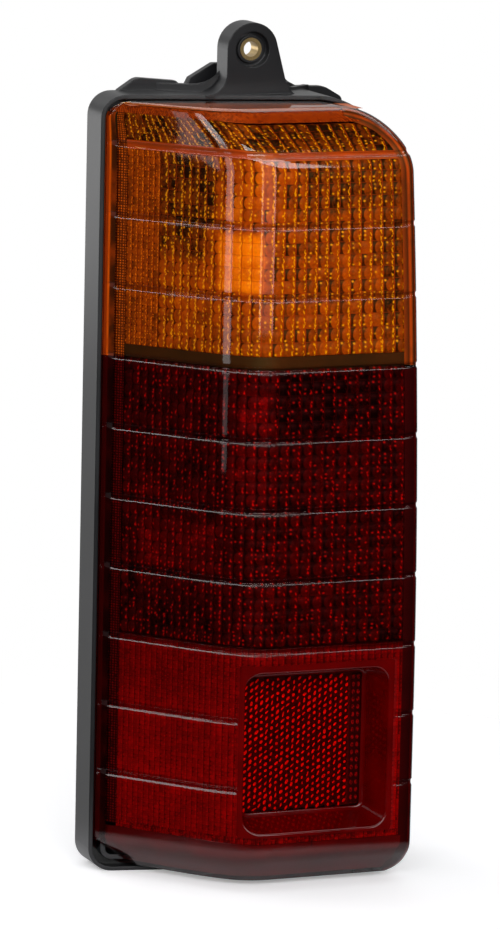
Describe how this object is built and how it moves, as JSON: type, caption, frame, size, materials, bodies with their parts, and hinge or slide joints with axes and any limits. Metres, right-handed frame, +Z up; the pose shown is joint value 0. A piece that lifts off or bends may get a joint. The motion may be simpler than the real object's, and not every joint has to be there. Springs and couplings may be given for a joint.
{
  "type": "tail light cluster",
  "caption": "Tall wrap-around corner tail lamp: amber over red ribbed lens, sunk reflex panel, black housing with a bushed top lug.",
  "frame": {"origin": "middle of the footprint, at the bottom of the housing", "axes": "+Z up the lamp towards the lug, -Y out of the front of the lens, +Y into the vehicle body, the angled side face of the lens on the -X side"},
  "size_m": [0.1264, 0.095, 0.3643],
  "materials": {
    "black_plastic": "semi-matte moulded black",
    "brass": "turned",
    "amber": "clear amber moulding with pillow optics",
    "red": "clear red moulding with pillow optics",
    "reflex_red": "prism back",
    "seal": "soft black",
    "foam": "closed-cell foam",
    "silvered": "metallised plastic",
    "steel": "zinc plated",
    "plated": "tinned pressing",
    "amber_glass": "coated glass",
    "bulb_glass": "clear glass",
    "carrier_plastic": "moulded grey-black",
    "contact_brass": "pressed strip"
  },
  "bodies": {
    "root": {"housing": "black_plastic", "lug_bush": "brass", "amber_lens": "amber", "red_lens": "red", "reflex_panel": "reflex_red", "lens_seal": "seal", "turn_reflector": "silvered", "stop_reflector": "silvered", "tail_reflector": "silvered", "reflector_screws": "steel", "turn_bulb": "amber_glass", "stop_bulb": "bulb_glass", "tail_bulb": "bulb_glass", "turn_holder": "plated", "stop_holder": "plated", "tail_holder": "plated", "bulb_carrier": "carrier_plastic", "carrier_seal": "seal", "carrier_screws": "steel", "earth_strip": "contact_brass", "turn_strip": "contact_brass", "stop_strip": "contact_brass", "tail_strip": "contact_brass", "body_gasket": "foam", "locating_pegs": "steel", "peg_grommets": "seal", "vent_cap": "seal"}
  },
  "joints": []
}
